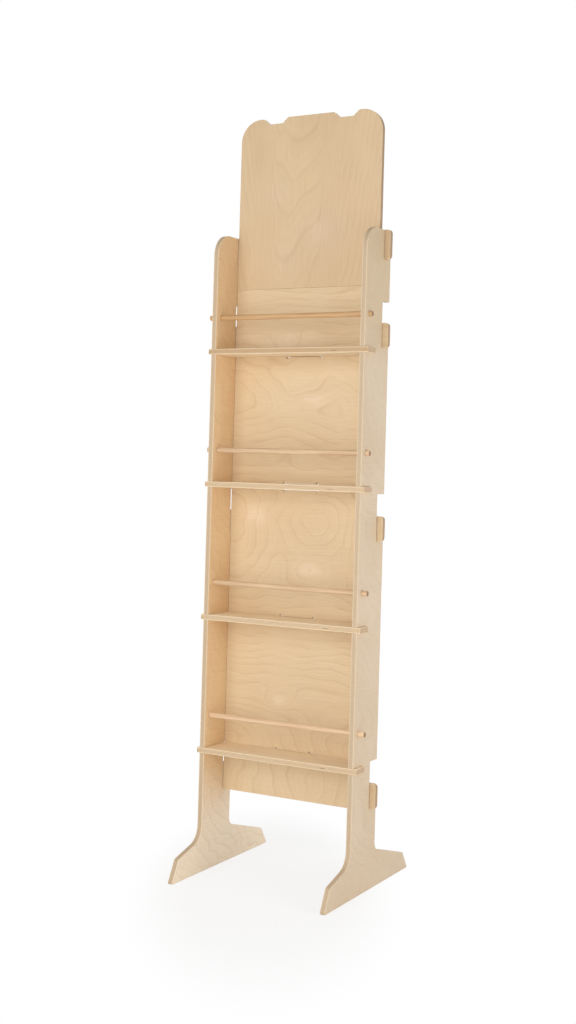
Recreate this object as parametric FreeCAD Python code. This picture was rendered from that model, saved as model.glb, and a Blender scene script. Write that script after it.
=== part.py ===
"""Knock-down floor display stand cut from birch plywood, held together without fasteners.

Two side panels with T-shaped feet carry everything. A back panel and a tall header board hang by
ears in J-shaped notches in the panels' back edges. Four shelves slide into slots in the front edges
and push a tab through the back panel. A loose round rail lies across the front above each shelf.

Frame: millimetres, Z up, the front faces -Y, X runs from the left panel to the right one.
The origin is on the floor, midway between the panels and midway along the feet.
"""
import FreeCAD
import Part

import math
import os

os.makedirs("parts", exist_ok=True)

V = FreeCAD.Vector

# Sheet stock
PLY = 12.0
EDGE_EASE = 0.6
CUTTER_RADIUS = 3.0

# Overall layout
INNER_WIDTH = 360.4
PANEL_DEPTH = 120.0
PANEL_TOP = 1441.0
BACK_SETBACK = 87.0
BOARD_GAP = 0.3

# Feet
FOOT_FRONT = 117.0
FOOT_BACK = 182.0
FOOT_SLOPE_DEG = 15.5
FRONT_CREST = 74.7
BACK_CREST = 83.3
FRONT_TIP_LEAN = 25.0
BACK_TIP_LEAN = 27.0
FRONT_CURVE = 40.0
BACK_CURVE = 20.0
TOE_TOP_RADIUS = 9.0
TOE_SOLE_RADIUS = 3.0

# Rounding of a side panel's top
TOP_FRONT_RADIUS = 50.0
TOP_BACK_RADIUS = 8.0

# Ears of the boards and the notches that hold them
EAR_HEIGHT = 54.5
EAR_REACH = 13.5
EAR_RADIUS = 8.0
EAR_SEATS = (177.0, 759.0, 1182.5)
NOTCH_LIFT = 48.5
HOOK_HEIGHT = 42.0
HOOK_RADIUS = 9.0
NOTCH_GAP_FRONT = 2.0
NOTCH_GAP_BACK = 0.3

# Header board
HEADER_SEAT_BELOW_TOP = 64.0
HEADER_EAR_HEIGHT = 65.0
HEADER_SKIRT = 56.0
HEADER_HEIGHT = 393.0
HEADER_CORNER_RADIUS = 50.0
HEADER_SEAM_GAP = 0.4
CREST_NOTCH_OFFSET = 90.0
CREST_NOTCH_DEPTH = 13.0
CREST_NOTCH_FLOOR = 34.0
CREST_NOTCH_MOUTH = 62.0
CREST_NOTCH_RADIUS = 8.0

# Back panel
BACK_SKIRT = 6.0

# Shelves, counted from the top one
SHELF_COUNT = 4
LOWEST_SHELF_HEIGHT = 266.0
SHELF_PITCH = 300.0
SHELF_GAP = 0.5
SHELF_EAR_LENGTH = 43.0
SHELF_EAR_REACH = 8.0
SHELF_EAR_RADIUS = 6.0
SHELF_SLOT_CLEARANCE = 0.4
TAB_WIDTH = 82.0
TAB_SIDE_GAP = 1.0
TAB_GAPS_BELOW = (1.0, 2.5, 1.0, 1.0)
TAB_GAP_ABOVE = 0.5
RELIEF_RADIUS = 4.0

# Rails, one above each shelf
RAIL_DIAMETER = 12.0
RAIL_HOLE_CLEARANCE = 0.6
RAIL_ABOVE_SHELF = 72.0
RAIL_SETBACK = 20.0
RAIL_PROUD = 11.3
RAIL_EASE = 0.8
RAIL_SHIFTS = (-4.0, -1.5, 2.0, 4.5)

# Places worked out from the sizes above
FRONT_Y = (FOOT_FRONT - PANEL_DEPTH - FOOT_BACK) / 2
BACK_EDGE_Y = FRONT_Y + PANEL_DEPTH
BOARD_Y = FRONT_Y + BACK_SETBACK
INNER_X = INNER_WIDTH / 2
OUTER_X = INNER_X + PLY
BOARD_X = INNER_X - BOARD_GAP
HEADER_SEAT = PANEL_TOP - HEADER_SEAT_BELOW_TOP
SEAM_Z = HEADER_SEAT - HEADER_SKIRT
CUT_MARGIN = 50.0


def shelf_underside(index):
    """Height of a shelf's lower face; index 0 is the top shelf."""
    return LOWEST_SHELF_HEIGHT + (SHELF_COUNT - 1 - index) * SHELF_PITCH


def rail_axis_z(index):
    return shelf_underside(index) + PLY + RAIL_ABOVE_SHELF


def box(x0, x1, y0, y1, z0, z1):
    return Part.makeBox(x1 - x0, y1 - y0, z1 - z0, V(x0, y0, z0))


def rounded_outline(corners, place):
    """Closed wire through (u, v, radius) corners; roundings too big for a side shrink to fit it."""
    count = len(corners)
    points = [V(u, v, 0) for u, v, _ in corners]
    inwards = []
    halves = []
    reaches = []
    for i, (_, _, radius) in enumerate(corners):
        before = (points[i - 1] - points[i]).normalize()
        after = (points[(i + 1) % count] - points[i]).normalize()
        half = math.acos(max(-1.0, min(1.0, before.dot(after)))) / 2
        inwards.append((before, after))
        halves.append(half)
        reaches.append(radius / math.tan(half))
    fits = []
    for i in range(count):
        length = (points[(i + 1) % count] - points[i]).Length
        wanted = reaches[i] + reaches[(i + 1) % count]
        fits.append(min(1.0, 0.98 * length / wanted) if wanted > 0 else 1.0)
    starts = []
    middles = []
    ends = []
    for i, (before, after) in enumerate(inwards):
        reach = reaches[i] * min(fits[i - 1], fits[i])
        radius = reach * math.tan(halves[i])
        starts.append(points[i] + before * reach)
        ends.append(points[i] + after * reach)
        bisector = (before + after).normalize()
        middles.append(points[i] + bisector * (radius / math.sin(halves[i]) - radius))
    edges = []
    for i in range(count):
        if (starts[i] - ends[i]).Length > 1e-6:
            edges.append(Part.Arc(place(starts[i]), place(middles[i]), place(ends[i])).toShape())
        following = starts[(i + 1) % count]
        if (ends[i] - following).Length > 1e-6:
            edges.append(Part.LineSegment(place(ends[i]), place(following)).toShape())
    return Part.Wire(edges)


def in_side_plane(x):
    """Outline coordinates are (Y, Z) at a given X."""
    return lambda p: V(x, p.x, p.y)


def in_front_plane(y):
    """Outline coordinates are (X, Z) at a given Y."""
    return lambda p: V(p.x, y, p.y)


def in_level_plane(z):
    """Outline coordinates are (X, Y) at a given Z."""
    return lambda p: V(p.x, p.y, z)


def sheet(corners, place, direction):
    """Board of one ply thickness with the given outline."""
    return Part.Face(rounded_outline(corners, place)).extrude(direction * PLY)


def ease_outline(board, direction):
    """Take the arris off the outline of both faces; holes inside the outline stay sharp."""
    arrises = []
    for face in board.Faces:
        if abs(abs(face.normalAt(0, 0).dot(direction)) - 1) < 1e-6 and face.Area > PLY * PLY:
            arrises.extend(face.OuterWire.Edges)
    return board.makeChamfer(EDGE_EASE, arrises)


def side_outline():
    """Leg, T-shaped foot and rounded top in (Y, Z), counter-clockwise from the front toe."""
    slope = math.tan(math.radians(FOOT_SLOPE_DEG))
    front_tip_y = FRONT_Y - FOOT_FRONT
    back_tip_y = BACK_EDGE_Y + FOOT_BACK
    front_top_z = FRONT_CREST - (FOOT_FRONT - FRONT_TIP_LEAN) * slope
    back_top_z = BACK_CREST - (FOOT_BACK - BACK_TIP_LEAN) * slope
    return [
        (front_tip_y, 0.0, TOE_SOLE_RADIUS),
        (back_tip_y, 0.0, TOE_SOLE_RADIUS),
        (back_tip_y - BACK_TIP_LEAN, back_top_z, TOE_TOP_RADIUS),
        (BACK_EDGE_Y, BACK_CREST, BACK_CURVE),
        (BACK_EDGE_Y, PANEL_TOP, TOP_BACK_RADIUS),
        (FRONT_Y, PANEL_TOP, TOP_FRONT_RADIUS),
        (FRONT_Y, FRONT_CREST, FRONT_CURVE),
        (front_tip_y + FRONT_TIP_LEAN, front_top_z, TOE_TOP_RADIUS),
    ]


def hook_cut(x, seat_z, ceiling_z):
    """J-shaped cut in the back edge: an ear goes in above the hook and drops to the seat."""
    slot_front = BOARD_Y - NOTCH_GAP_FRONT
    slot_back = BOARD_Y + PLY + NOTCH_GAP_BACK
    hook_top = seat_z + HOOK_HEIGHT
    outside = BACK_EDGE_Y + CUT_MARGIN
    corners = [
        (slot_front, seat_z, 0.0),
        (slot_back, seat_z, 0.0),
        (slot_back, hook_top, HOOK_RADIUS),
        (BACK_EDGE_Y, hook_top, HOOK_RADIUS),
        (BACK_EDGE_Y, hook_top - HOOK_RADIUS - PLY / 4, 0.0),
        (outside, hook_top - HOOK_RADIUS - PLY / 4, 0.0),
        (outside, ceiling_z, 0.0),
        (slot_front, ceiling_z, CUTTER_RADIUS),
    ]
    return sheet(corners, in_side_plane(x), V(1, 0, 0))


def shelf_slot(x, index):
    """Slot open at the front edge that takes a shelf's ear."""
    low = shelf_underside(index)
    deep = FRONT_Y + SHELF_EAR_LENGTH + SHELF_SLOT_CLEARANCE
    return box(x, x + PLY, FRONT_Y - CUT_MARGIN, deep, low, low + PLY + SHELF_SLOT_CLEARANCE)


def rail_hole(x, index):
    radius = (RAIL_DIAMETER + RAIL_HOLE_CLEARANCE) / 2
    return Part.makeCylinder(radius, PLY, V(x, FRONT_Y + RAIL_SETBACK, rail_axis_z(index)), V(1, 0, 0))


def side_panel(x):
    """Side panel whose left face is at x."""
    board = sheet(side_outline(), in_side_plane(x), V(1, 0, 0))
    cuts = [hook_cut(x, seat, seat + EAR_HEIGHT + NOTCH_LIFT) for seat in EAR_SEATS]
    cuts.append(hook_cut(x, HEADER_SEAT, PANEL_TOP + CUT_MARGIN))
    for index in range(SHELF_COUNT):
        cuts.append(shelf_slot(x, index))
        cuts.append(rail_hole(x, index))
    return ease_outline(board.cut(cuts).removeSplitter(), V(1, 0, 0))


def ear(side, seat_z, height):
    """Ear that leaves a board sideways through the panel; side is -1 for left, +1 for right."""
    tip = OUTER_X + EAR_REACH
    corners = [
        (0.0, seat_z, 0.0),
        (side * tip, seat_z, EAR_RADIUS),
        (side * tip, seat_z + height, EAR_RADIUS),
        (0.0, seat_z + height, 0.0),
    ]
    return sheet(corners, in_front_plane(BOARD_Y), V(0, 1, 0))


def header_top(side):
    """Outline corners of one half of the header's top edge, from the outer corner to the middle."""
    top = SEAM_Z + HEADER_HEIGHT
    half_mouth = CREST_NOTCH_MOUTH / 2
    half_floor = CREST_NOTCH_FLOOR / 2
    floor_z = top - CREST_NOTCH_DEPTH
    return [
        (side * BOARD_X, top, HEADER_CORNER_RADIUS),
        (side * (CREST_NOTCH_OFFSET + half_mouth), top, CREST_NOTCH_RADIUS),
        (side * (CREST_NOTCH_OFFSET + half_floor), floor_z, CREST_NOTCH_RADIUS),
        (side * (CREST_NOTCH_OFFSET - half_floor), floor_z, CREST_NOTCH_RADIUS),
        (side * (CREST_NOTCH_OFFSET - half_mouth), top, CREST_NOTCH_RADIUS),
    ]


def header_board():
    """Tall board above the shelves, with two shallow notches in its top edge and one ear a side."""
    bottom = SEAM_Z + HEADER_SEAM_GAP
    corners = [(-BOARD_X, bottom, 0.0), (BOARD_X, bottom, 0.0)]
    corners += header_top(1)
    corners += reversed(header_top(-1))
    board = sheet(corners, in_front_plane(BOARD_Y), V(0, 1, 0))
    board = board.fuse([ear(side, HEADER_SEAT, HEADER_EAR_HEIGHT) for side in (-1, 1)])
    return ease_outline(board.removeSplitter(), V(0, 1, 0))


def tab_slot(index):
    """Slot in the back panel for a shelf's tab, with a round relief at each corner."""
    low = shelf_underside(index) - TAB_GAPS_BELOW[index]
    high = shelf_underside(index) + PLY + TAB_GAP_ABOVE
    half = TAB_WIDTH / 2 + TAB_SIDE_GAP
    slot = box(-half, half, BOARD_Y, BOARD_Y + PLY, low, high)
    reliefs = []
    for x in (-half, half):
        for z in (low, high):
            reliefs.append(Part.makeCylinder(RELIEF_RADIUS, PLY, V(x, BOARD_Y, z), V(0, 1, 0)))
    return slot.fuse(reliefs).removeSplitter()


def back_panel():
    """Board behind all four shelves, hung by three ears a side."""
    bottom = EAR_SEATS[0] - BACK_SKIRT
    corners = [
        (-BOARD_X, bottom, 0.0),
        (BOARD_X, bottom, 0.0),
        (BOARD_X, SEAM_Z, 0.0),
        (-BOARD_X, SEAM_Z, 0.0),
    ]
    board = sheet(corners, in_front_plane(BOARD_Y), V(0, 1, 0))
    ears = [ear(side, seat, EAR_HEIGHT) for seat in EAR_SEATS for side in (-1, 1)]
    board = board.fuse(ears).removeSplitter()
    board = board.cut([tab_slot(index) for index in range(SHELF_COUNT)])
    return ease_outline(board, V(0, 1, 0))


def shelf(index):
    """Shelf with an ear at each front corner and a tab in the middle of its back edge."""
    half = INNER_X - SHELF_GAP
    tip = OUTER_X + SHELF_EAR_REACH
    ear_back = FRONT_Y + SHELF_EAR_LENGTH
    back = BOARD_Y - SHELF_GAP
    tab_end = BOARD_Y + PLY
    right = [
        (tip, FRONT_Y, CUTTER_RADIUS),
        (tip, ear_back, SHELF_EAR_RADIUS),
        (half, ear_back, 0.0),
        (half, back, 0.0),
        (TAB_WIDTH / 2, back, 0.0),
        (TAB_WIDTH / 2, tab_end, 0.0),
    ]
    left = [(-u, v, radius) for u, v, radius in reversed(right)]
    board = sheet(right + left, in_level_plane(shelf_underside(index)), V(0, 0, 1))
    return ease_outline(board, V(0, 0, 1))


def rail(index):
    """Loose round rail that crosses both side panels and stands proud of them."""
    length = 2 * (OUTER_X + RAIL_PROUD)
    start = V(RAIL_SHIFTS[index] - length / 2, FRONT_Y + RAIL_SETBACK, rail_axis_z(index))
    rod = Part.makeCylinder(RAIL_DIAMETER / 2, length, start, V(1, 0, 0))
    rims = [edge for edge in rod.Edges if isinstance(edge.Curve, Part.Circle)]
    return rod.makeChamfer(RAIL_EASE, rims)


def main():
    nodes = {
        "side_panel_left": side_panel(-OUTER_X),
        "side_panel_right": side_panel(INNER_X),
        "header_board": header_board(),
        "back_panel": back_panel(),
    }
    for index in range(SHELF_COUNT):
        nodes["shelf_%d" % (index + 1)] = shelf(index)
        nodes["rail_%d" % (index + 1)] = rail(index)
    for name, shape in nodes.items():
        solids = shape.Solids
        if len(solids) != 1 or not shape.isValid():
            raise ValueError("%s is not one sound solid" % name)
        solids[0].exportStep("parts/%s.step" % name)
        print("%-18s %8.1f cm3" % (name, solids[0].Volume / 1000))


main()
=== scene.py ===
# %% [markdown]
# # A plywood display stand
# This lesson dresses a stand that is already modelled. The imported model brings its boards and
# rails in true size, in metres, and the cells below give each of them the finish of the real
# object: birch plywood with a figured face and layered edges, and turned birch rods. The last
# cells set up the floor, the lights and the camera.

import math

import bmesh
import bpy
from mathutils import Matrix, Vector


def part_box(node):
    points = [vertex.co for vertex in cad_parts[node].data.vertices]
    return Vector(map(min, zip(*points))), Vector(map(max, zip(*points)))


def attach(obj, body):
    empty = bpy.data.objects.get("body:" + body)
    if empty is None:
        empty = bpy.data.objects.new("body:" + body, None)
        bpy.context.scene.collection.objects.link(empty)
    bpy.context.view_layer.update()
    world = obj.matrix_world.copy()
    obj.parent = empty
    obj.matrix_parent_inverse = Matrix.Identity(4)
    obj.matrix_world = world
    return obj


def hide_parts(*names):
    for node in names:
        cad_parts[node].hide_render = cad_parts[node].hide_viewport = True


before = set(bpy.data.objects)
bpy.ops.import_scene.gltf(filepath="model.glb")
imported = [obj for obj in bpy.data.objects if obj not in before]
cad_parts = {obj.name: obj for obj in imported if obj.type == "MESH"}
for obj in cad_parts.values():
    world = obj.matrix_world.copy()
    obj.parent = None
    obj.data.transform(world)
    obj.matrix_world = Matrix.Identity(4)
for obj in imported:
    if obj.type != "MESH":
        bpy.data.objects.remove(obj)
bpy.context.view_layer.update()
BOARD_NAMES = [name for name in sorted(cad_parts) if not name.startswith("rail")]
RAIL_NAMES = [name for name in sorted(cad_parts) if name.startswith("rail")]
for name in BOARD_NAMES + RAIL_NAMES:
    low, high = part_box(name)
    size = high - low
    print(f"{name:18s} {size.x * 1000:6.0f} x {size.y * 1000:5.0f} x {size.z * 1000:5.0f} mm")

# %% [markdown]
# ## A short way to write a finish
# Every finish here is a network of shader nodes. Written out in full, each node takes three or
# four lines. A small helper that adds a node, fills its sockets and joins it in one call keeps
# the recipes readable, and it is the only class in the lesson.

# %% Helper that wires shader nodes
class Recipe:
    """One material's node network, built one ingredient at a time."""

    def __init__(self, name):
        self.material = bpy.data.materials.new(name)
        self.material.use_nodes = True
        self.tree = self.material.node_tree
        self.tree.nodes.clear()

    def feed(self, socket, value):
        if isinstance(value, bpy.types.NodeSocket):
            self.tree.links.new(value, socket)
        else:
            socket.default_value = value

    def add(self, kind, inputs=None, **settings):
        node = self.tree.nodes.new(kind)
        for key, value in settings.items():
            setattr(node, key, value)
        for key, value in (inputs or {}).items():
            self.feed(node.inputs[key], value)
        return node

    def math(self, operation, *values):
        node = self.add("ShaderNodeMath", operation=operation)
        for socket, value in zip(node.inputs, values):
            self.feed(socket, value)
        return node.outputs[0]

    def vector_math(self, operation, first, second):
        return self.add("ShaderNodeVectorMath", {0: first, 1: second}, operation=operation).outputs[0]

    def mix(self, share, first, second):
        node = self.add("ShaderNodeMix", data_type="RGBA")
        for index, value in ((0, share), (6, first), (7, second)):
            self.feed(node.inputs[index], value)
        return node.outputs[2]

    def fade(self, value, start, end, low=0.0, high=1.0):
        """Smooth step of value from start to end."""
        node = self.add("ShaderNodeMapRange", interpolation_type="SMOOTHSTEP")
        for index, number in enumerate((value, start, end, low, high)):
            self.feed(node.inputs[index], number)
        return node.outputs[0]

    def noise(self, vector, scale, detail=2.0, roughness=0.5):
        inputs = {"Vector": vector, "Scale": scale, "Detail": detail, "Roughness": roughness}
        return self.add("ShaderNodeTexNoise", inputs)

    def stretched(self, vector, stretch, offset=(0.0, 0.0, 0.0)):
        inputs = {"Vector": vector, "Location": offset, "Scale": stretch}
        return self.add("ShaderNodeMapping", inputs).outputs[0]


def paint(red, green, blue):
    """A colour as the eye reads it, 0 to 255, turned into the linear values that nodes use."""
    parts = [channel / 255 for channel in (red, green, blue)]
    linear = [c / 12.92 if c <= 0.04045 else ((c + 0.055) / 1.055) ** 2.4 for c in parts]
    return (*linear, 1.0)


print("mid tan in linear values:", [round(c, 3) for c in paint(226, 196, 156)[:3]])

# %% [markdown]
# ## Where a point lies on its board
# The same birch finish has to work on boards that stand, lie and face different ways. Each board
# is described by three directions: across, up and through its thickness. Reading the point in
# those directions gives one coordinate system for all of them, with the through value zero at
# the middle of the sheet.

# %% Board coordinates
AXES = {"x": 0, "y": 1, "z": 2}


def board_point(recipe, directions, middle):
    """(across, up, through) of the shaded point; middle is the sheet's middle plane."""
    position = recipe.add("ShaderNodeTexCoord").outputs["Object"]
    split = recipe.add("ShaderNodeSeparateXYZ", {"Vector": position}).outputs
    across, up, through = (split[AXES[letter]] for letter in directions)
    return across, up, recipe.math("SUBTRACT", through, middle)


def surface_masks(recipe, through_axis):
    """(edge, eased corner, sideways) shares, from how far the surface turns from the face."""
    normal = recipe.add("ShaderNodeNewGeometry").outputs["True Normal"]
    split = recipe.add("ShaderNodeSeparateXYZ", {"Vector": normal}).outputs
    turn = recipe.math("ABSOLUTE", split[AXES[through_axis]])
    face = recipe.math("GREATER_THAN", turn, 0.85)
    edge = recipe.math("LESS_THAN", turn, 0.45)
    corner = recipe.math("SUBTRACT", recipe.math("SUBTRACT", 1.0, face), edge)
    sideways = recipe.math("ABSOLUTE", split[0])
    return edge, corner, sideways


# %% [markdown]
# ## The figure of peeled birch
# Birch veneer is peeled from a turning log, so the knife runs almost along the growth rings and
# the rings come out like the contour lines of a map. A noise texture alone gives clouds. Here a
# smooth height field is built first, from slopes, soft hills and noise, and a line is drawn each
# time it passes a whole number, which is how contour lines work.

# %% Ingredients of the height field
def bent(recipe, across, up, seed, amount):
    """The same point pushed about by noise, so that nothing on the board looks ruled."""
    flat = recipe.add("ShaderNodeCombineXYZ", {0: across, 1: up, 2: seed}).outputs[0]
    push = recipe.noise(flat, 9.0, 4.0, 0.55).outputs[1]
    push = recipe.vector_math("SUBTRACT", push, (0.5, 0.5, 0.5))
    push = recipe.vector_math("MULTIPLY", push, (amount, amount, 0.0))
    moved = recipe.vector_math("ADD", flat, push)
    split = recipe.add("ShaderNodeSeparateXYZ", {"Vector": moved}).outputs
    return flat, split[0], split[1]


def hill(recipe, across, up, place, reach, height):
    """Soft hill at place=(across, up) with the given reach=(across, up), in metres."""
    dx = recipe.math("DIVIDE", recipe.math("SUBTRACT", across, place[0]), reach[0])
    dz = recipe.math("DIVIDE", recipe.math("SUBTRACT", up, place[1]), reach[1])
    square = recipe.math("ADD", recipe.math("MULTIPLY", dx, dx), recipe.math("MULTIPLY", dz, dz))
    bell = recipe.math("EXPONENT", recipe.math("MULTIPLY", square, -1.0))
    return recipe.math("MULTIPLY", bell, height)


def height_field(recipe, flat, across, up, spec):
    """Height in lines: noise, an even slope, hills, close level or upright lines, and arches."""
    broad = recipe.noise(recipe.stretched(flat, (*spec["grain"], 1.0)), 1.0, 2.0, 0.5).outputs[0]
    parts = [recipe.math("MULTIPLY", broad, spec["relief"])]
    parts.append(recipe.math("MULTIPLY", across, spec["slope"][0]))
    parts.append(recipe.math("MULTIPLY", up, spec["slope"][1]))
    for place, reach, height in spec.get("hills", ()):
        parts.append(hill(recipe, across, up, place, reach, height))
    for low, high, count in spec.get("bands", ()):
        parts.append(recipe.fade(up, low, high, 0.0, count))
    for low, high, first, last in spec.get("columns", ()):
        parts.append(recipe.fade(across, low, high, first, last))
    if "lean" in spec:
        high, low, amount = spec["lean"]
        parts.append(recipe.math("MULTIPLY", recipe.fade(up, high, low, 0.0, amount), across))
    if "arch" in spec:
        middle, sharpness = spec["arch"]
        aside = recipe.math("SUBTRACT", across, middle)
        parts.append(recipe.math("MULTIPLY", recipe.math("MULTIPLY", aside, aside), sharpness))
    total = parts[0]
    for part in parts[1:]:
        total = recipe.math("ADD", total, part)
    return total


# %% Lines where the field passes whole numbers
def line_ramp(recipe, value, levels):
    """Darkness by the value's place between two whole numbers; levels are (place, darkness)."""
    ramp = recipe.add("ShaderNodeValToRGB", {"Fac": recipe.math("FRACT", value)})
    ramp.color_ramp.interpolation = "B_SPLINE"
    stops = ramp.color_ramp.elements
    for stop, (position, level) in zip(stops, (levels[0], levels[-1])):
        stop.position, stop.color = position, (level, level, level, 1)
    for position, level in levels[1:-1]:
        stops.new(position).color = (level, level, level, 1)
    return ramp.outputs[0]


STRONG_LINE = ((0.0, 0.9), (0.05, 1.0), (0.14, 0.5), (0.4, 0.1), (0.8, 0.0), (0.94, 0.1), (1.0, 0.8))
SOFT_LINE = ((0.0, 1.0), (0.3, 0.3), (0.55, 0.0), (0.85, 0.2), (1.0, 1.0))


def growth_lines(recipe, flat, across, up, spec):
    """Darkness of the growth lines, 0 to 1: strong lines, with finer ones between them."""
    field = height_field(recipe, flat, across, up, spec)
    strong = line_ramp(recipe, field, STRONG_LINE)
    finer = line_ramp(recipe, recipe.math("MULTIPLY", field, spec["finer"]), SOFT_LINE)
    patches = recipe.noise(recipe.stretched(flat, (14.0, 14.0, 1.0)), 1.0, 1.0).outputs[0]
    strong = recipe.math("MULTIPLY", strong, recipe.fade(patches, 0.3, 0.65, 0.25, 1.0))
    return recipe.math("ADD", recipe.math("MULTIPLY", strong, 0.75), recipe.math("MULTIPLY", finer, 0.25))


# %% [markdown]
# ## The layered edge
# Twelve-millimetre birch plywood has nine veneers, and every second one shows its end grain at a
# cut edge. That is a pattern in the through direction only, so it is worked out from the through
# coordinate: which veneer the point is in, and how near it is to a glue line.

# %% Veneers and glue lines
SHEET = 0.012
VENEERS = 9
SKIN_STARTS, SKIN_FULL = 0.0038, 0.0046
GAP_ABOVE, GAP_FULL = 0.735, 0.765
LAYER_SEED_STEP = 7.3
print(f"one veneer is {SHEET / VENEERS * 1000:.2f} mm thick")


def edge_layers(recipe, across, up, through, seed):
    """(end-grain, glue-line, gap, face-veneer) shares on the cut edge of a board."""
    spot = recipe.add("ShaderNodeCombineXYZ", {0: across, 1: up, 2: seed}).outputs[0]
    drift = recipe.noise(spot, 9.0, 2.0).outputs[0]
    depth = recipe.math("MULTIPLY", recipe.math("ADD", through, SHEET / 2), VENEERS / SHEET)
    depth = recipe.math("ADD", depth, recipe.math("MULTIPLY", recipe.math("SUBTRACT", drift, 0.5), 0.5))
    layer = recipe.math("FLOOR", depth)
    end_grain = recipe.math("MODULO", recipe.math("ABSOLUTE", layer), 2.0)
    inside = recipe.math("FRACT", depth)
    from_line = recipe.math("MINIMUM", inside, recipe.math("SUBTRACT", 1.0, inside))
    glue = recipe.fade(from_line, 0.16, 0.02)
    own_seed = recipe.math("MULTIPLY", layer, LAYER_SEED_STEP)
    row = recipe.add("ShaderNodeCombineXYZ", {0: across, 1: up, 2: own_seed}).outputs[0]
    patch = recipe.noise(row, 26.0, 1.0).outputs[0]
    open_grain = recipe.fade(patch, GAP_ABOVE, GAP_FULL)
    gap = recipe.math("MULTIPLY", open_grain, recipe.fade(from_line, 0.1, 0.3))
    skin = recipe.fade(recipe.math("ABSOLUTE", through), SKIN_STARTS, SKIN_FULL)
    return end_grain, glue, recipe.math("MULTIPLY", gap, end_grain), skin


# %% [markdown]
# ## Birch plywood, all together
# The finish is mixed the way the board is made: a face veneer with broad tone, growth lines, fine
# grain and small flecks, a layered edge, and an eased corner between them. The corner is pale along
# the edges, partly the face veneer and partly a painted highlight, and dark around the ends that
# stand out at the sides, partly dirt and partly painted shade. The colours are arguments, because
# no two boards in a stand come from the same log.

# %% Colours that all the plywood shares
FLECK = paint(168, 126, 84)
GLUE = paint(160, 126, 92)
GAP = paint(92, 66, 46)
# dark of the eased corners at the sawn ends: partly dirt, partly painted shade
CORNER_DIRT_AND_SHADE = paint(150, 116, 82)
# pale face veneer colour, also used as painted light on the slot walls and as a painted highlight along eased
# corners
PALE_VENEER_AND_HIGHLIGHT = paint(250, 230, 198)
print("glue line in linear values:", [round(c, 3) for c in GLUE[:3]])

# %% [markdown]
# The recipe is written in three steps, which share one network: the face veneer, the cut edge, and
# the board that joins them. A board's two faces come from different sheets of veneer, so the side
# that a point lies on is part of the noise's seed.

# %% The face veneer
def face_veneer(recipe, across, up, through, seed, tones, figure):
    """(colour, fibre) of the face: broad tone, painted light by height, pale spots, growth lines, fine grain,
    flecks.
    """
    side = recipe.math("MULTIPLY", recipe.math("SIGN", through), 3.0)
    side_seed = recipe.math("ADD", side, seed)
    flat, bent_across, bent_up = bent(recipe, across, up, side_seed, figure["bend"])
    lines = growth_lines(recipe, flat, bent_across, bent_up, figure)

    along, over = figure["fibre"]
    fibre = recipe.noise(recipe.stretched(flat, (along, over, 1.0)), 1.0, 3.0, 0.6).outputs[0]
    cloud_point = recipe.stretched(flat, (*figure["cloud"], 1.0), (5.0, 2.0, 0.0))
    cloud = recipe.noise(cloud_point, 1.0, 3.0).outputs[0]
    fleck_point = recipe.stretched(flat, (along * 3.0, over * 0.9, 1.0))
    fleck_field = recipe.noise(fleck_point, 1.0, 1.0).outputs[0]
    fleck = recipe.fade(fleck_field, 0.66, 0.74)

    tone = recipe.mix(recipe.fade(cloud, 0.3, 0.7), tones["face"], tones["blush"])
    # painted light and shade: the face turns to another tone between two heights
    for start, end, painted_light_tone in tones.get("painted_light_toward", ()):
        tone = recipe.mix(recipe.fade(bent_up, start, end), tone, painted_light_tone)
    for place, reach in figure.get("pale_spots", ()):
        spot = hill(recipe, bent_across, bent_up, place, reach, 0.8)
        tone = recipe.mix(spot, tone, tones["pale"])
    tone = recipe.mix(recipe.math("MULTIPLY", lines, figure["contrast"]), tone, tones["line"])
    tone = recipe.mix(recipe.math("MULTIPLY", recipe.fade(fibre, 0.35, 0.75), 0.14), tone, tones["line"])
    tone = recipe.mix(recipe.math("MULTIPLY", fleck, 0.12), tone, FLECK)
    return tone, fibre


# %% The cut edge
ENDS_FROM, ENDS_FULL = 0.14, 0.17


def cut_edge(recipe, across, up, through, seed, tones, sideways, speckle):
    """(colour, gap, at_end) of the edge: veneers, glue lines, paler skins and small gaps.

    Edges that face sideways are of two kinds. Far from the stand's middle plane they are sawn ends
    in the open, and darker. Near it they are the walls of the tab slots, painted pale as the light
    that reaches into them.
    """
    end_grain, glue, gap, skin = edge_layers(recipe, across, up, through, seed)
    spot = recipe.add("ShaderNodeTexCoord").outputs["Object"]
    off_middle = recipe.math("ABSOLUTE", recipe.add("ShaderNodeSeparateXYZ", {"Vector": spot}).outputs[0])
    outside = recipe.fade(off_middle, ENDS_FROM, ENDS_FULL)
    at_end = recipe.math("MULTIPLY", recipe.fade(sideways, 0.5, 0.9), outside)
    # painted light: edges near the middle plane, the slot walls, are mixed towards the pale veneer colour as
    # if lit
    painted_slot_light = recipe.math("MULTIPLY", recipe.fade(sideways, 0.1, 0.4), recipe.math("SUBTRACT", 1.0, outside))
    long_tone = recipe.mix(at_end, tones["edge"], tones["end"])
    cross_tone = recipe.mix(0.42, long_tone, GLUE)
    layered = recipe.mix(end_grain, long_tone, cross_tone)
    layered = recipe.mix(recipe.math("MULTIPLY", recipe.fade(speckle, 0.4, 0.7), 0.2), layered, GLUE)
    layered = recipe.mix(recipe.math("MULTIPLY", glue, 0.6), layered, GLUE)
    bright = recipe.math("MULTIPLY", skin, recipe.math("SUBTRACT", 1.0, at_end))
    layered = recipe.mix(recipe.math("MULTIPLY", bright, 0.38), layered, PALE_VENEER_AND_HIGHLIGHT)
    # painted light on the slot walls
    layered = recipe.mix(painted_slot_light, layered, PALE_VENEER_AND_HIGHLIGHT)
    return recipe.mix(gap, layered, GAP), gap, at_end


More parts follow.
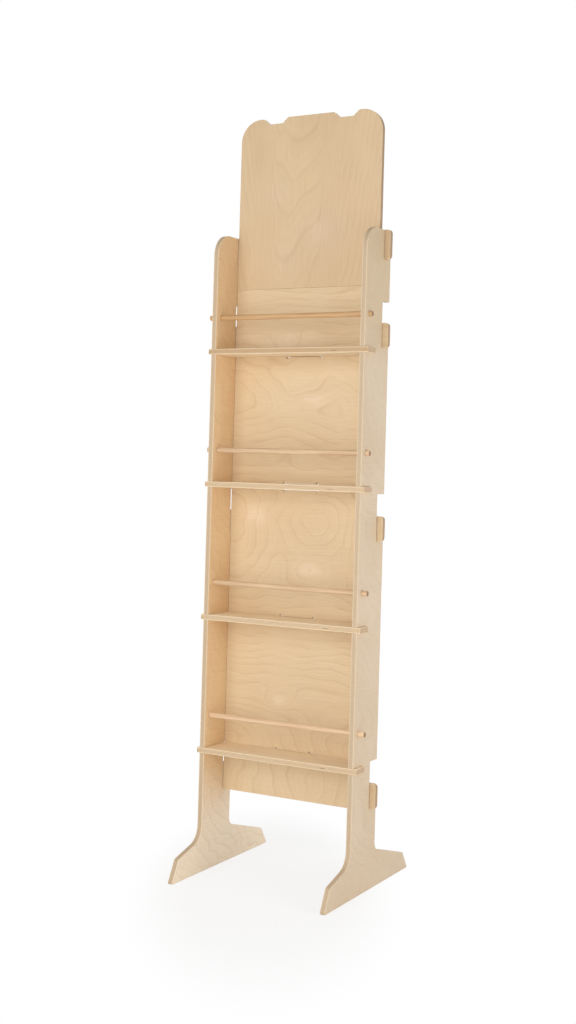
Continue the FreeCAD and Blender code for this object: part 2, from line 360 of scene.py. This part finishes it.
# %% The whole board
def plywood(name, directions, middle, seed, tones, figure):
    """Birch plywood for one board; tones holds its colours, figure the shape of its lines."""
    recipe = Recipe(name)
    across, up, through = board_point(recipe, directions, middle)
    edge, corner, sideways = surface_masks(recipe, directions[2])
    speckle = recipe.noise(recipe.add("ShaderNodeTexCoord").outputs["Object"], 900.0, 2.0).outputs[0]
    tone, fibre = face_veneer(recipe, across, up, through, seed, tones, figure)
    layered, gap, at_end = cut_edge(recipe, across, up, through, seed, tones, sideways, speckle)

    # eased corner: pale along the edges, partly a painted highlight; dark at the sawn ends, partly dirt and
    # partly painted shade
    corner_wear_and_painted_light = recipe.mix(0.4, tone, recipe.mix(at_end, PALE_VENEER_AND_HIGHLIGHT, CORNER_DIRT_AND_SHADE))
    colour = recipe.mix(edge, tone, layered)
    colour = recipe.mix(corner, colour, corner_wear_and_painted_light)

    relief = recipe.math("ADD", recipe.math("MULTIPLY", fibre, 0.6), recipe.math("MULTIPLY", speckle, 0.4))
    relief = recipe.math("SUBTRACT", relief, recipe.math("MULTIPLY", recipe.math("MULTIPLY", gap, edge), 2.0))
    bump = recipe.add("ShaderNodeBump", {"Height": relief, "Strength": 0.12, "Distance": 0.0004}).outputs[0]
    rough = recipe.fade(fibre, 0.3, 0.7, 0.56, 0.66)
    surface = {"Base Color": colour, "Roughness": rough, "Normal": bump, "Specular IOR Level": 0.3}
    shader = recipe.add("ShaderNodeBsdfPrincipled", surface)
    recipe.add("ShaderNodeOutputMaterial", {"Surface": shader.outputs[0]})
    return recipe.material


def dress(node_name, material):
    """Put the material on a carried-over board, whose mesh stays as it is."""
    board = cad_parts[node_name]
    for index in range(len(board.material_slots)):
        board.material_slots[index].link = "OBJECT"
        board.material_slots[index].material = material
    print(f"{node_name:18s} -> {material.name}")


# %% [markdown]
# ## The back panel
# The large board behind the shelves has the liveliest figure: level wavy lines near its top,
# nested loops further down and a small knot low in the middle. The loops come from a few listed
# hills, each with its place, its reach in metres and its height in lines, and noise keeps them
# from looking drawn. A band adds close level lines between two heights.

# %% Back panel
back_low, back_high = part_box("back_panel")
back_middle = (back_low.y + back_high.y) / 2
BACK_TONES = {
    "face": paint(221, 198, 162),
    "blush": paint(216, 190, 153),
    "pale": paint(229, 207, 177),
    "line": paint(187, 149, 107),
    "edge": paint(220, 196, 159),
    "end": paint(178, 148, 116),
}
BACK_FIGURE = {
    "bend": 0.035,
    "grain": (4.5, 8.0),
    "relief": 4.0,
    "slope": (0.0, 9.0),
    "bands": ((1.16, 1.34, 6.0), (0.42, 0.57, 6.0), (0.86, 0.93, 2.0), (0.57, 0.64, 1.5)),
    "lean": (0.40, 0.28, 24.0),
    "hills": (
        ((-0.185, 1.07), (0.12, 0.085), 5.0),
        ((0.10, 1.03), (0.13, 0.09), 3.4),
        ((-0.04, 1.195), (0.045, 0.03), 1.6),
        ((0.045, 0.80), (0.075, 0.06), -3.4),
        ((-0.17, 0.76), (0.09, 0.12), 3.6),
        ((0.027, 0.685), (0.05, 0.035), 2.6),
        ((0.17, 0.72), (0.05, 0.09), 2.4),
        ((-0.039, 0.39), (0.03, 0.022), 2.6),
        ((0.19, 0.44), (0.08, 0.05), 2.4),
        ((-0.12, 0.31), (0.12, 0.08), -2.4),
    ),
    "pale_spots": (
        ((-0.039, 1.204), (0.022, 0.012)),
        ((-0.06, 1.198), (0.14, 0.022)),
        ((0.024, 1.066), (0.035, 0.014)),
        ((0.027, 0.685), (0.035, 0.02)),
        ((-0.039, 0.39), (0.014, 0.012)),
        ((-0.11, 0.80), (0.03, 0.02)),
    ),
    "finer": 3.0,
    "cloud": (4.0, 7.0),
    "fibre": (14.0, 420.0),
    "contrast": 0.36,
}
dress("back_panel", plywood("birch_back", "xzy", back_middle, 1.7, BACK_TONES, BACK_FIGURE))

# %% [markdown]
# ## The header board
# Its grain stands upright: nested pointed arches in the middle, where the knife cut across the
# rings, and close straight lines beside them, where it ran along the rings.

# %% Header board
HEADER_TONES = {
    "face": paint(215, 189, 152),
    "blush": paint(211, 183, 147),
    "pale": paint(217, 191, 161),
    "line": paint(179, 146, 107),
    "edge": paint(220, 194, 156),
    "end": paint(172, 146, 118),
}
HEADER_FIGURE = {
    "bend": 0.022,
    "grain": (9.0, 2.5),
    "relief": 2.6,
    "slope": (9.0, -11.5),
    "columns": ((-0.15, -0.08, 7.0, 0.0), (0.025, 0.085, 0.0, 6.0)),
    "arch": (-0.02, 190.0),
    "pale_spots": (
        ((-0.083, 1.536), (0.03, 0.03)),
        ((-0.055, 1.39), (0.03, 0.035)),
        ((0.03, 1.45), (0.05, 0.04)),
    ),
    "finer": 3.0,
    "cloud": (9.0, 3.0),
    "fibre": (420.0, 12.0),
    "contrast": 0.28,
}
dress("header_board", plywood("birch_header", "xzy", back_middle, 4.1, HEADER_TONES, HEADER_FIGURE))

# %% [markdown]
# ## The side panels
# The two panels come from different sheets. The left one is warmer and grows paler towards its
# foot, which is painted light. The right one is pale, and darker and warmer near its top, which is
# painted shade.

# %% Side panels
WARM_TONES = {
    "face": paint(235, 207, 166),
    "blush": paint(229, 195, 152),
    "line": paint(195, 156, 114),
    # painted light: the left panel turns paler towards its foot
    "painted_light_toward": ((0.28, 0.08, paint(242, 226, 202)),),
    "edge": paint(205, 185, 156),
    "end": paint(189, 162, 129),
}
PALE_TONES = {
    "face": paint(215, 196, 170),
    "blush": paint(210, 189, 161),
    "line": paint(186, 159, 130),
    # painted shade: the right panel turns darker and warmer near its top
    "painted_light_toward": ((1.10, 1.30, paint(209, 187, 154)),),
    "edge": paint(206, 186, 158),
    "end": paint(189, 162, 129),
}
PANEL_FIGURE = {
    "bend": 0.05,
    "grain": (5.0, 9.0),
    "relief": 6.0,
    "slope": (26.0, 22.0),
    "finer": 2.0,
    "cloud": (5.0, 6.0),
    "fibre": (14.0, 420.0),
    "contrast": 0.22,
}
for side_name, seed, tones in (("side_panel_left", 8.3, WARM_TONES), ("side_panel_right", 12.9, PALE_TONES)):
    low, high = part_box(side_name)
    middle = (low.x + high.x) / 2
    dress(side_name, plywood("birch_" + side_name, "yzx", middle, seed, tones, PANEL_FIGURE))

# %% [markdown]
# ## The shelves
# The shelves' grain runs along their length, and their front edges show the veneers best.

# %% Shelves
SHELF_TONES = {
    "face": paint(245, 227, 196),
    "blush": paint(240, 218, 186),
    "line": paint(209, 179, 140),
    "edge": paint(219, 194, 159),
    "end": paint(205, 178, 146),
}
FIRST_SHELF_TONES = {**SHELF_TONES, "edge": paint(200, 170, 132)}
SHELF_FIGURE = {
    "bend": 0.012,
    "grain": (3.0, 14.0),
    "relief": 3.0,
    "slope": (0.0, 60.0),
    "finer": 3.0,
    "cloud": (5.0, 9.0),
    "fibre": (12.0, 420.0),
    "contrast": 0.3,
}
for index, shelf_name in enumerate(name for name in BOARD_NAMES if name.startswith("shelf")):
    low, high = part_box(shelf_name)
    middle = (low.z + high.z) / 2
    tones = FIRST_SHELF_TONES if index == 0 else SHELF_TONES
    material = plywood("birch_" + shelf_name, "xyz", middle, 20.0 + 3.7 * index, tones, SHELF_FIGURE)
    dress(shelf_name, material)

# %% [markdown]
# ## The rails
# The rails are loose turned rods. A rod shows its roundness in every light, so each one is made
# again with more sides than the solid has and a small round-over at both ends, in the same place.
# A cone tool with two equal radii makes the rod, and a bevel eases its rims.

# %% Rod mesh
ROD_SIDES = 72
ROD_EASE = 0.0008


def rod_mesh(name, low, high):
    """Round rod that fills the box from low to high along X, with eased rims."""
    middle = (low + high) / 2
    radius = (high.z - low.z) / 2
    turn = Matrix.Translation(middle) @ Matrix.Rotation(math.radians(90), 4, "Y")
    shape = bmesh.new()
    bmesh.ops.create_cone(shape, cap_ends=True, segments=ROD_SIDES, radius1=radius, radius2=radius,
                          depth=high.x - low.x, matrix=turn)
    rims = [edge for edge in shape.edges if any(len(face.verts) > 4 for face in edge.link_faces)]
    bmesh.ops.bevel(shape, geom=rims, offset=ROD_EASE, offset_type="OFFSET", segments=3, profile=0.5,
                    affect="EDGES", material=-1)
    for face in shape.faces:
        face.smooth = len(face.verts) == 4
    mesh = bpy.data.meshes.new(name)
    shape.to_mesh(mesh)
    shape.free()
    return mesh


# %% [markdown]
# The rod's finish has two parts: fine streaks along its length, and rings and pores on the sawn
# ends, which drink light and look darker.

# %% Rod finish
ROD_END = paint(156, 118, 82)
ROD_RING = paint(120, 86, 58)
ROD_PORE = paint(104, 72, 48)
RINGS_PER_METRE = 620.0
HEARTWOOD_OFFSET = (0.011, -0.006)


def rod_finish(name, middle, seed, side_tone, streak_tone):
    """Turned birch for the rod centred on middle; the streaks are darker than the side."""
    recipe = Recipe(name)
    position = recipe.add("ShaderNodeTexCoord").outputs["Object"]
    centred = recipe.stretched(position, (1.0, 1.0, 1.0), (-middle.x, -middle.y, -middle.z))
    streak_point = recipe.stretched(centred, (9.0, 480.0, 480.0), (seed, 0.0, 0.0))
    streak = recipe.noise(streak_point, 1.0, 3.0, 0.6).outputs[0]
    patch = recipe.noise(recipe.stretched(centred, (7.0, 60.0, 60.0), (seed, 3.0, 0.0)), 1.0, 2.0).outputs[0]
    fleck_point = recipe.stretched(centred, (60.0, 700.0, 700.0), (seed, 9.0, 0.0))
    fleck_field = recipe.noise(fleck_point, 1.0, 1.0).outputs[0]
    tone = recipe.mix(recipe.fade(streak, 0.35, 0.7), side_tone, streak_tone)
    tone = recipe.mix(recipe.math("MULTIPLY", recipe.fade(patch, 0.5, 0.7), 0.4), tone, streak_tone)
    tone = recipe.mix(recipe.math("MULTIPLY", recipe.fade(fleck_field, 0.64, 0.72), 0.25), tone, FLECK)

    off_centre = recipe.stretched(centred, (0.0, 1.0, 1.0), (0.0, *HEARTWOOD_OFFSET))
    distance = recipe.add("ShaderNodeVectorMath", {0: off_centre}, operation="LENGTH").outputs["Value"]
    wobble = recipe.noise(centred, 160.0, 2.0).outputs[0]
    rings = recipe.math("MULTIPLY", distance, RINGS_PER_METRE)
    ring = recipe.math("FRACT", recipe.math("ADD", rings, wobble))
    pores = recipe.noise(centred, 1500.0, 2.0).outputs[0]
    end_tone = recipe.mix(recipe.math("MULTIPLY", ring, 0.5), ROD_END, ROD_RING)
    end_tone = recipe.mix(recipe.fade(pores, 0.55, 0.7), end_tone, ROD_PORE)

    normal = recipe.add("ShaderNodeNewGeometry").outputs["True Normal"]
    facing = recipe.math("ABSOLUTE", recipe.add("ShaderNodeSeparateXYZ", {"Vector": normal}).outputs[0])
    colour = recipe.mix(recipe.fade(facing, 0.6, 0.95), tone, end_tone)
    bump = recipe.add("ShaderNodeBump", {"Height": streak, "Strength": 0.15, "Distance": 0.0003}).outputs[0]
    surface = {"Base Color": colour, "Roughness": 0.5, "Normal": bump, "Specular IOR Level": 0.35}
    shader = recipe.add("ShaderNodeBsdfPrincipled", surface)
    recipe.add("ShaderNodeOutputMaterial", {"Surface": shader.outputs[0]})
    return recipe.material


# %% Make the rails and put them in place
ROD_TONES = {
    "rail_1": (paint(208, 171, 125), paint(185, 142, 98)),
    "rail_2": (paint(219, 190, 154), paint(197, 161, 128)),
    "rail_3": (paint(218, 189, 152), paint(198, 163, 127)),
    "rail_4": (paint(229, 199, 162), paint(209, 172, 136)),
}
for index, rail_name in enumerate(RAIL_NAMES):
    low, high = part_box(rail_name)
    rod = bpy.data.objects.new(rail_name + "_rod", rod_mesh(rail_name + "_rod", low, high))
    bpy.context.scene.collection.objects.link(rod)
    finish = rod_finish("birch_" + rod.name, (low + high) / 2, 2.3 * index, *ROD_TONES[rail_name])
    rod.data.materials.append(finish)
    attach(rod, "root")
    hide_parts(rail_name)
    print(rod.name, len(rod.data.polygons), "faces")

# %% [markdown]
# ## Floor and backdrop
# The stand is shown on a white sweep. Around the feet the camera sees a mix of plain white and the
# real floor with its faint shadow, and further out only white, so no horizon shows. The light that
# the floor throws back on the stand is that of its true colour.

# %% Floor
FLOOR_HALF = 30.0
floor_shape = bmesh.new()
bmesh.ops.create_grid(floor_shape, x_segments=1, y_segments=1, size=FLOOR_HALF)
floor_mesh = bpy.data.meshes.new("floor")
floor_shape.to_mesh(floor_mesh)
floor_shape.free()
floor = bpy.data.objects.new("floor", floor_mesh)
bpy.context.scene.collection.objects.link(floor)


def seen_directly(recipe):
    """1 where the camera, a gloss or a clear surface looks at the backdrop, else 0."""
    path = recipe.add("ShaderNodeLightPath").outputs
    seen = recipe.math("MAXIMUM", path["Is Camera Ray"], path["Is Glossy Ray"])
    return recipe.math("MAXIMUM", seen, path["Is Transmission Ray"])


# %% Shadow pool around the feet
POOL_REACH = (0.30, 0.75)
POOL_SHIFT = (0.055, 0.10)
POOL_TURN = math.radians(-28.6)
WHITE_AT_FEET = 0.74

sweep = Recipe("white_sweep")
spot = sweep.add("ShaderNodeTexCoord").outputs["Object"]
turned = sweep.add("ShaderNodeMapping", {"Vector": spot, "Rotation": (0.0, 0.0, POOL_TURN)}).outputs[0]
shift = [place / reach for place, reach in zip(POOL_SHIFT, POOL_REACH)]
pool = sweep.stretched(turned, (1 / POOL_REACH[0], 1 / POOL_REACH[1], 1.0), (*shift, 0.0))
distance = sweep.add("ShaderNodeVectorMath", {0: pool}, operation="LENGTH").outputs["Value"]
paper = sweep.add("ShaderNodeBsdfDiffuse", {"Color": paint(243, 243, 243)}).outputs[0]
glow = sweep.add("ShaderNodeEmission", {"Color": (1, 1, 1, 1), "Strength": 1.0}).outputs[0]
plain_white = sweep.fade(distance, 0.5, 1.05, WHITE_AT_FEET, 1.0)
whitened = sweep.math("MULTIPLY", seen_directly(sweep), plain_white)
blend = sweep.add("ShaderNodeMixShader", {0: whitened, 1: paper, 2: glow}).outputs[0]
sweep.add("ShaderNodeOutputMaterial", {"Surface": blend})
floor_mesh.materials.append(sweep.material)
print("floor", 2 * FLOOR_HALF, "m across")

# %% [markdown]
# ## Light
# The stand is lit softly from all round. An even white sky does about half of it. A large soft
# lamp in front and a smaller one low at the right give direction, and weak ones at the left and
# behind keep those sides from going grey.

# %% World
SKY_STRENGTH = 0.47
world = bpy.data.worlds.new("studio")
bpy.context.scene.world = world
world.use_nodes = True
nodes, links = world.node_tree.nodes, world.node_tree.links
nodes.clear()
path = nodes.new("ShaderNodeLightPath")
direct = nodes.new("ShaderNodeMath")
direct.operation = "MAXIMUM"
links.new(path.outputs["Is Camera Ray"], direct.inputs[0])
links.new(path.outputs["Is Glossy Ray"], direct.inputs[1])
direct_too = nodes.new("ShaderNodeMath")
direct_too.operation = "MAXIMUM"
links.new(direct.outputs[0], direct_too.inputs[0])
links.new(path.outputs["Is Transmission Ray"], direct_too.inputs[1])
sky = nodes.new("ShaderNodeBackground")
sky.inputs["Color"].default_value = (1, 1, 1, 1)
sky.inputs["Strength"].default_value = SKY_STRENGTH
white = nodes.new("ShaderNodeBackground")
white.inputs["Color"].default_value = (1, 1, 1, 1)
both = nodes.new("ShaderNodeMixShader")
links.new(direct_too.outputs[0], both.inputs[0])
links.new(sky.outputs[0], both.inputs[1])
links.new(white.outputs[0], both.inputs[2])
surface = nodes.new("ShaderNodeOutputWorld")
links.new(both.outputs[0], surface.inputs["Surface"])
print("sky", SKY_STRENGTH)


# %% Soft lamps
def soft_lamp(name, place, target, size, power):
    """White square lamp of the given size in metres and power in watts, aimed at the target."""
    data = bpy.data.lights.new(name, "AREA")
    data.shape = "SQUARE"
    data.size = size
    data.energy = power
    lamp = bpy.data.objects.new(name, data)
    lamp.location = place
    lamp.rotation_euler = (Vector(target) - Vector(place)).to_track_quat("-Z", "Y").to_euler()
    bpy.context.scene.collection.objects.link(lamp)
    lamp.visible_camera = False
    print(f"{name:15s} {power:5.1f} W")


AIM = (0.0, 0.0, 0.75)
soft_lamp("front_softbox", (0.1, -2.2, 0.94), AIM, 2.2, 36.3)
soft_lamp("right_softbox", (2.2, -0.2, 0.5), AIM, 1.6, 23.0)
soft_lamp("left_fill", (-2.6, 0.2, 1.0), AIM, 2.2, 8.0)
soft_lamp("back_fill", (0.0, 2.8, 1.1), AIM, 2.2, 27.0)

# %% [markdown]
# ## Camera
# The camera's place, turn and lens were solved from the stand's own edges in the photograph. The
# picture is taller than wide, so the lens length goes with its height. The frame was cropped low,
# which is a shift of the view and not a tilt, because the panels' edges stay nearly upright.

# %% Camera
PICTURE_HEIGHT = 1024
SENSOR_HEIGHT = 36.0
FOCAL_PIXELS = 1393.0
CENTRE_ROW = 442.03
CAMERA_PLACE = Vector((1.4755, -2.7738, 0.9193))
YAW, PITCH, ROLL = (math.radians(angle) for angle in (28.621, 0.961, 1.639))

forward = Vector((-math.sin(YAW) * math.cos(PITCH), math.cos(YAW) * math.cos(PITCH), math.sin(PITCH)))
level_right = Vector((math.cos(YAW), math.sin(YAW), 0.0))
level_up = level_right.cross(forward)
right = math.cos(ROLL) * level_right + math.sin(ROLL) * level_up
upward = -math.sin(ROLL) * level_right + math.cos(ROLL) * level_up
camera_data = bpy.data.cameras.new("camera")
camera_data.sensor_fit = "VERTICAL"
camera_data.sensor_height = SENSOR_HEIGHT
camera_data.lens = FOCAL_PIXELS / PICTURE_HEIGHT * SENSOR_HEIGHT
camera_data.shift_y = (CENTRE_ROW - PICTURE_HEIGHT / 2) / PICTURE_HEIGHT
camera = bpy.data.objects.new("camera", camera_data)
turn = Matrix((right, upward, -forward)).transposed()
camera.matrix_world = Matrix.Translation(CAMERA_PLACE) @ turn.to_4x4()
bpy.context.scene.collection.objects.link(camera)
bpy.context.scene.camera = camera
bpy.context.scene.view_settings.view_transform = "Standard"
print(f"lens {camera_data.lens:.1f} mm, shift {camera_data.shift_y:.3f}")
